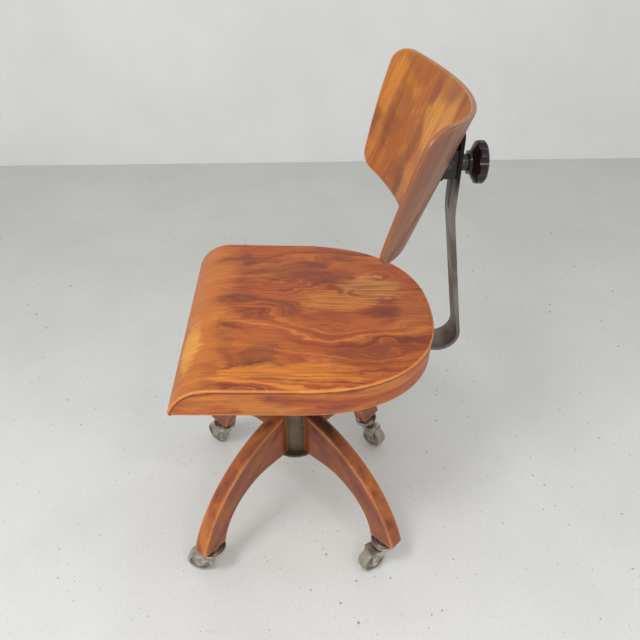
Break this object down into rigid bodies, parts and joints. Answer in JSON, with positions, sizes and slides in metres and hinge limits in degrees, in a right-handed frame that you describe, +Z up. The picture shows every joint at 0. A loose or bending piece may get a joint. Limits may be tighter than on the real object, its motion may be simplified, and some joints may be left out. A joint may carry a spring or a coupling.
{
  "type": "office chair",
  "caption": "Wooden swivel office chair with a waterfall seat, a curved backrest on a flat steel strap, a screw spindle, bowed legs and swivel casters.",
  "frame": {"origin": "on the floor, on the axis of the column round which the seat swivels", "axes": "+Z up along the column, the sitter faces -Y, +X towards the sitter's left"},
  "size_m": [0.41, 0.4827, 0.8374],
  "materials": {
    "seat_veneer": "worn satin varnish",
    "seat_wood": "worn satin varnish",
    "board_wood": "plain",
    "back_veneer": "satin varnish",
    "leg_wood": "satin varnish",
    "column_paint": "satin",
    "strap_paint": "satin",
    "bracket_paint": "satin",
    "bright_steel": "turned",
    "collar_metal": "turned",
    "cast_iron": "cast, painted",
    "knob_resin": "moulded",
    "insert_brass": "turned",
    "caster_nickel": "plated, worn",
    "wheel_tread": "hard, worn"
  },
  "bodies": {
    "base": {"leg_front_left": "leg_wood", "leg_rear_left": "leg_wood", "leg_rear_right": "leg_wood", "leg_front_right": "leg_wood", "caster_cup_front_left": "caster_nickel", "caster_cup_rear_left": "caster_nickel", "caster_cup_rear_right": "caster_nickel", "caster_cup_front_right": "caster_nickel", "leg_studs": "bright_steel", "column_tube": "column_paint", "base_flange": "column_paint", "top_collar": "column_paint", "column_bush": "bright_steel", "lower_guide": "bright_steel"},
    "swivel": {"thrust_ring": "bright_steel"},
    "nut": {"height_nut": "cast_iron"},
    "seat": {"spindle": "bright_steel", "spindle_pin": "bright_steel", "seat_plate": "cast_iron", "plate_bolts": "bright_steel", "seat_board": "board_wood", "board_screws": "bright_steel", "seat_rim": "seat_wood", "seat_top": "seat_veneer", "back_strap": "strap_paint", "strap_bolts": "bright_steel"},
    "slider": {"clamp_block": "bracket_paint", "clamp_stud": "bright_steel", "tilt_pin": "bright_steel"},
    "spacer": {"knob_collar": "collar_metal"},
    "knob": {"clamp_knob": "knob_resin", "knob_insert": "insert_brass"},
    "backrest": {"back_plate": "bracket_paint", "back_screws": "bright_steel", "backrest_panel": "back_veneer"},
    "fork_front_left": {"caster_fork_front_left": "caster_nickel", "caster_washer_front_left": "caster_nickel", "caster_axle_front_left": "caster_nickel"},
    "wheel_front_left": {"caster_wheel_front_left": "wheel_tread"},
    "fork_rear_left": {"caster_fork_rear_left": "caster_nickel", "caster_washer_rear_left": "caster_nickel", "caster_axle_rear_left": "caster_nickel"},
    "wheel_rear_left": {"caster_wheel_rear_left": "wheel_tread"},
    "fork_rear_right": {"caster_fork_rear_right": "caster_nickel", "caster_washer_rear_right": "caster_nickel", "caster_axle_rear_right": "caster_nickel"},
    "wheel_rear_right": {"caster_wheel_rear_right": "wheel_tread"},
    "fork_front_right": {"caster_fork_front_right": "caster_nickel", "caster_washer_front_right": "caster_nickel", "caster_axle_front_right": "caster_nickel"},
    "wheel_front_right": {"caster_wheel_front_right": "wheel_tread"}
  },
  "joints": [
    {"name": "seat_swivel", "type": "hinge", "parent": "base", "child": "swivel", "pos_m": [0, 0, 0.2811], "axis": [0, 0, 1], "continuous": true},
    {"name": "nut_turn", "type": "hinge", "parent": "swivel", "child": "nut", "pos_m": [0, 0, 0.294], "axis": [0, 0, 1], "range_deg": [-1351, 3151]},
    {"name": "seat_height", "type": "slide", "parent": "swivel", "child": "seat", "axis": [0, 0, 1], "range_m": [-0.07, 0.03]},
    {"name": "backrest_height", "type": "slide", "parent": "seat", "child": "slider", "axis": [0, 0, 1], "range_m": [-0.006, 0.03]},
    {"name": "backrest_tilt", "type": "hinge", "parent": "slider", "child": "backrest", "pos_m": [0, 0.225, 0.73001], "axis": [0.9994, -0.034, 0], "range_deg": [-2, 25]},
    {"name": "spacer_slide", "type": "slide", "parent": "slider", "child": "spacer", "axis": [0, 1, 0], "range_m": [0, 0.0015]},
    {"name": "knob_turn", "type": "hinge", "parent": "spacer", "child": "knob", "pos_m": [0, 0.27, 0.72501], "axis": [0, 1, 0], "range_deg": [0, 360]},
    {"name": "caster_swivel_front_left", "type": "hinge", "parent": "base", "child": "fork_front_left", "pos_m": [0.15924, -0.15324, 0.058], "axis": [0, 0, 1], "continuous": true},
    {"name": "wheel_roll_front_left", "type": "hinge", "parent": "fork_front_left", "child": "wheel_front_left", "pos_m": [0.15394, -0.17819, 0.024], "axis": [0.9781, -0.2079, 0], "continuous": true},
    {"name": "caster_swivel_rear_left", "type": "hinge", "parent": "base", "child": "fork_rear_left", "pos_m": [0.15324, 0.15924, 0.058], "axis": [0, 0, 1], "continuous": true},
    {"name": "wheel_roll_rear_left", "type": "hinge", "parent": "fork_rear_left", "child": "wheel_rear_left", "pos_m": [0.16521, 0.13673, 0.024], "axis": [0.8829, 0.4695, 0], "continuous": true},
    {"name": "caster_swivel_rear_right", "type": "hinge", "parent": "base", "child": "fork_rear_right", "pos_m": [-0.15924, 0.15324, 0.058], "axis": [0, 0, 1], "continuous": true},
    {"name": "wheel_roll_rear_right", "type": "hinge", "parent": "fork_rear_right", "child": "wheel_rear_right", "pos_m": [-0.14285, 0.17278, 0.024], "axis": [-0.766, 0.6428, 0], "continuous": true},
    {"name": "caster_swivel_front_right", "type": "hinge", "parent": "base", "child": "fork_front_right", "pos_m": [-0.15324, -0.15924, 0.058], "axis": [0, 0, 1], "continuous": true},
    {"name": "wheel_roll_front_right", "type": "hinge", "parent": "fork_front_right", "child": "wheel_front_right", "pos_m": [-0.17031, -0.17819, 0.024], "axis": [0.7431, -0.6691, 0], "continuous": true}
  ],
  "couplings": [
    {"joint": "nut_turn", "follows": "seat_height", "rad_per_m": -785.4},
    {"joint": "spacer_slide", "follows": "knob_turn", "m_per_rad": 0.00023873}
  ]
}
